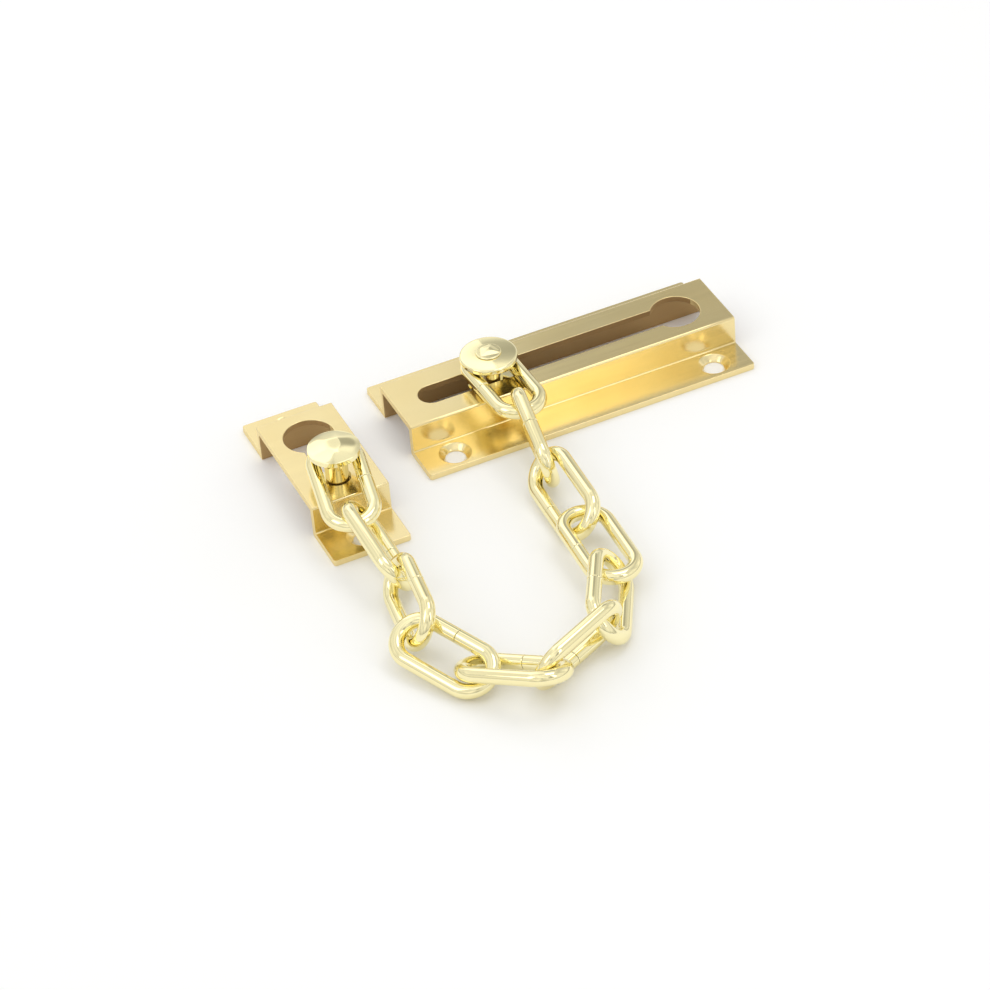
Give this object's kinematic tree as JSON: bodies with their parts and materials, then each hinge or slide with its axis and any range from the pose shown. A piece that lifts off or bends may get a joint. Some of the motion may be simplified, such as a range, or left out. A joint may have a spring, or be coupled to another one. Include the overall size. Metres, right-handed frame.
{
  "type": "door chain",
  "caption": "Door chain: a folded brass slide plate with a keyhole slot and running stud, joined by wire links to a stud held in a keyhole keeper plate.",
  "frame": {"origin": "centre of the slide plate's four screw holes, on the plane that both plates are screwed to", "axes": "+X along the slide plate's slot to its round end, +Y across the plate away from the chain, +Z out of the door, away from the screwed face"},
  "size_m": [0.112, 0.1189, 0.0178],
  "materials": {
    "polished_brass": "polished, drawn strip",
    "plated_brass": "bright brass plating"
  },
  "bodies": {
    "slide_plate": {"slide_plate": "polished_brass"},
    "slider": {"slider_pin": "plated_brass", "slider_button": "plated_brass"},
    "link_01": {"link_01": "plated_brass"},
    "link_02": {"link_02": "plated_brass"},
    "link_03": {"link_03": "plated_brass"},
    "link_04": {"link_04": "plated_brass"},
    "link_05": {"link_05": "plated_brass"},
    "link_06": {"link_06": "plated_brass"},
    "link_07": {"link_07": "plated_brass"},
    "link_08": {"link_08": "plated_brass"},
    "link_09": {"link_09": "plated_brass"},
    "link_10": {"link_10": "plated_brass"},
    "link_11": {"link_11": "plated_brass"},
    "keeper_stud": {"keeper_stud": "plated_brass"},
    "keeper_plate": {"keeper_plate": "polished_brass"}
  },
  "joints": [
    {"name": "slider_slide", "type": "slide", "parent": "slide_plate", "child": "slider", "axis": [1, 0, 0], "range_m": [-0.0142, 0.0461]},
    {"name": "link_01_swivel", "type": "hinge", "parent": "slider", "child": "link_01", "pos_m": [-0.0168, 0, 0.0085], "axis": [0, 0, 1], "range_deg": [-30, 30]},
    {"name": "link_02_swing", "type": "hinge", "parent": "link_01", "child": "link_02", "pos_m": [-0.01612, -0.01443, 0.01075], "axis": [0, 0, 1], "range_deg": [-20, 40]},
    {"name": "link_03_swing", "type": "hinge", "parent": "link_02", "child": "link_03", "pos_m": [-0.02033, -0.03439, 0.00664], "axis": [0, 0, 1], "range_deg": [-4, 24]},
    {"name": "link_04_swing", "type": "hinge", "parent": "link_03", "child": "link_04", "pos_m": [-0.01958, -0.05495, 0.00554], "axis": [0, 0, 1], "range_deg": [-6, 44]},
    {"name": "link_05_swing", "type": "hinge", "parent": "link_04", "child": "link_05", "pos_m": [-0.02022, -0.06838, 0.00555], "axis": [0, 0, -1], "range_deg": [-45, 4]},
    {"name": "link_06_swing", "type": "hinge", "parent": "link_05", "child": "link_06", "pos_m": [-0.03034, -0.08525, 0.00691], "axis": [0, 0, 1], "range_deg": [-4, 34]},
    {"name": "link_07_swing", "type": "hinge", "parent": "link_06", "child": "link_07", "pos_m": [-0.04699, -0.09245, 0.00751], "axis": [0, 0, 1], "range_deg": [-11, 34]},
    {"name": "link_08_swing", "type": "hinge", "parent": "link_07", "child": "link_08", "pos_m": [-0.05861, -0.08351, 0.0036], "axis": [0, 0, 1], "range_deg": [-5, 19]},
    {"name": "link_09_swing", "type": "hinge", "parent": "link_08", "child": "link_09", "pos_m": [-0.06427, -0.06994, 0.0068], "axis": [0, 0, -1], "range_deg": [-8, 5]},
    {"name": "link_10_swing", "type": "hinge", "parent": "link_09", "child": "link_10", "pos_m": [-0.06139, -0.05067, 0.00635], "axis": [0, 0, 1], "range_deg": [-6, 17]},
    {"name": "link_11_swing", "type": "hinge", "parent": "link_10", "child": "link_11", "pos_m": [-0.06101, -0.03012, 0.00955], "axis": [0, 0, -1], "range_deg": [-34, 9]},
    {"name": "keeper_stud_swivel", "type": "hinge", "parent": "link_11", "child": "keeper_stud", "pos_m": [-0.06076, -0.01639, 0.0085], "axis": [0, 0, -1], "range_deg": [-40, 18]},
    {"name": "keeper_slide", "type": "slide", "parent": "keeper_stud", "child": "keeper_plate", "axis": [0, -1, 0], "range_m": [0, 0.004]}
  ],
  "couplings": [
    {"joint": "link_07_swing", "follows": "slider_slide", "rad_per_m": 12.5}
  ]
}
